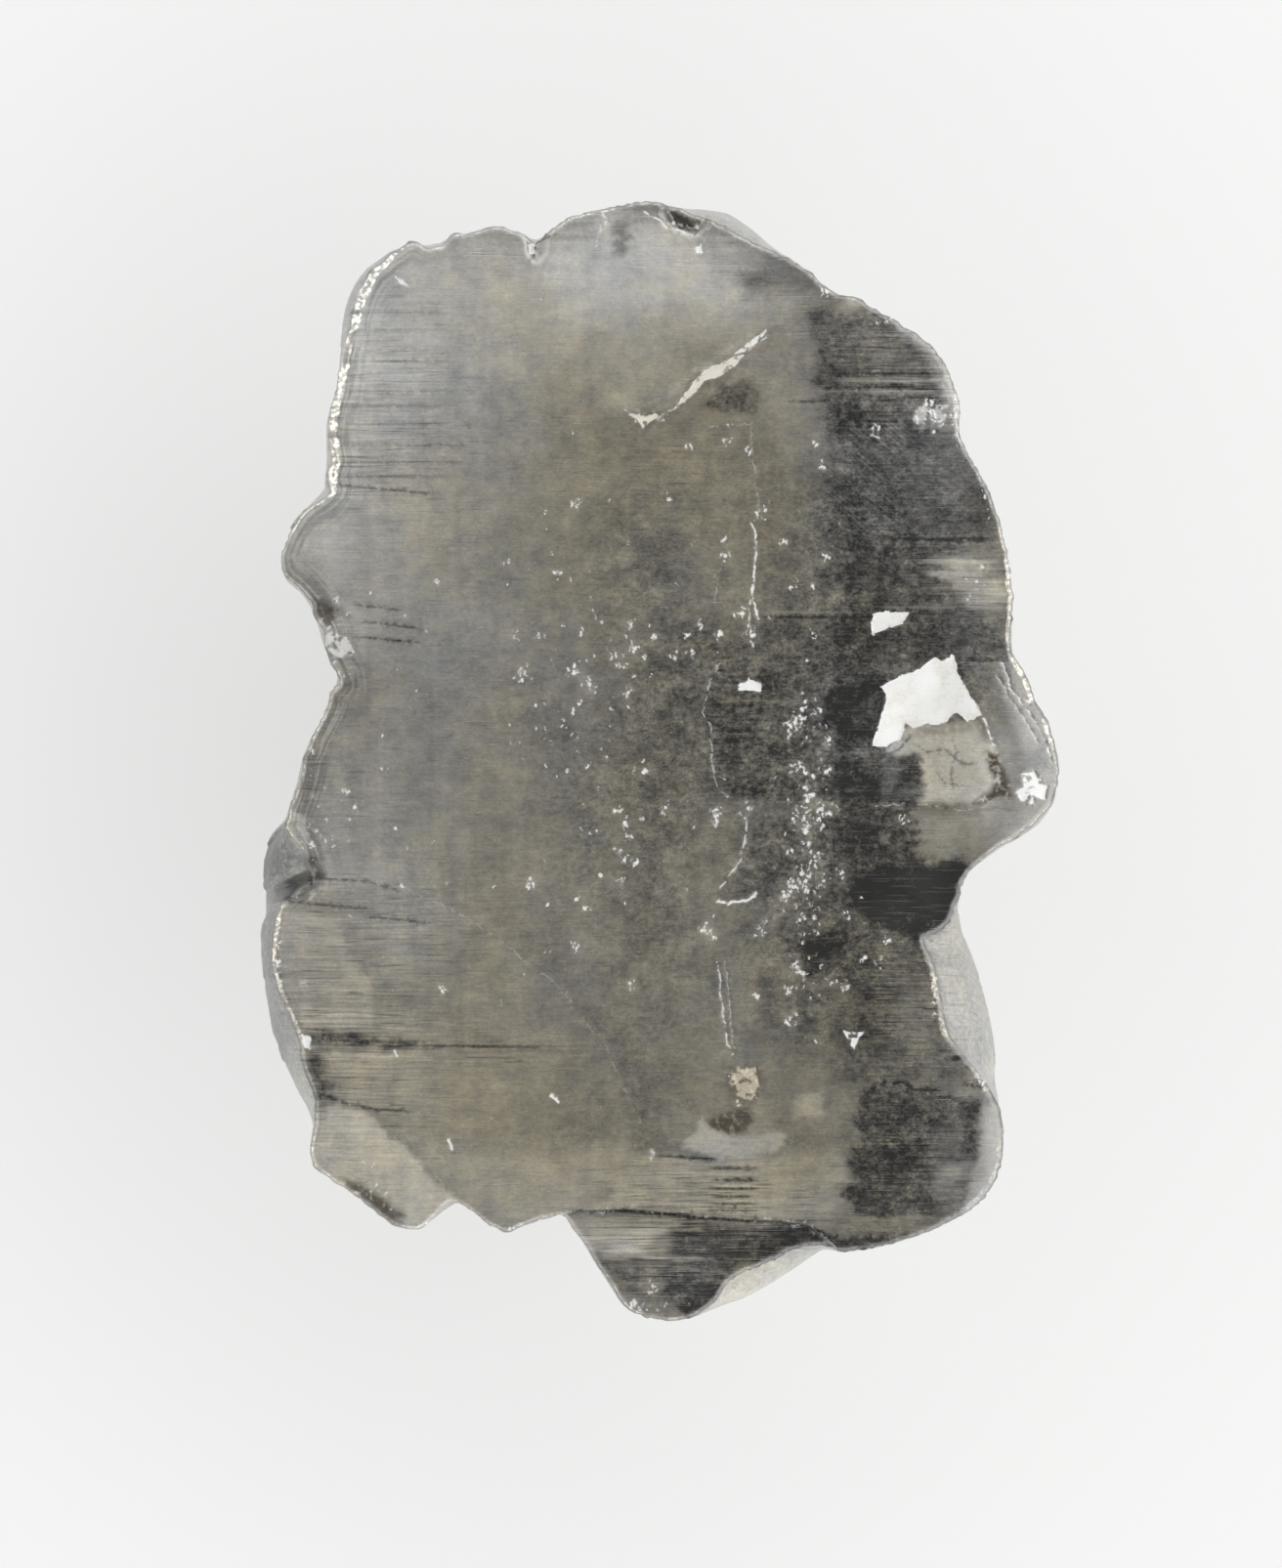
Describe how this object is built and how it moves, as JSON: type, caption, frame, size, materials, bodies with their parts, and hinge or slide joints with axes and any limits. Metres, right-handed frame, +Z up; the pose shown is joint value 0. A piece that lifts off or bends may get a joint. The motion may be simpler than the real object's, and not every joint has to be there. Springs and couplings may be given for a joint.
{
  "type": "rough diamond",
  "caption": "Flat, cloudy grey natural diamond crystal, uncut, with a broad ridged cleavage face, a sharp uneven rim and a facet beneath to rest on.",
  "frame": {"origin": "on the surface the stone rests on, under the middle of its bounding box", "axes": "+Z up out of the broad face, +Y along the stone's length, towards the top of the picture, +X to the picture's right"},
  "size_m": [0.0082, 0.0116, 0.0042],
  "materials": {
    "cloudy_diamond": "cloudy and translucent, with a greasy to glassy lustre and fine parallel growth lines"
  },
  "bodies": {
    "root": {"rough_diamond": "cloudy_diamond"}
  },
  "joints": []
}
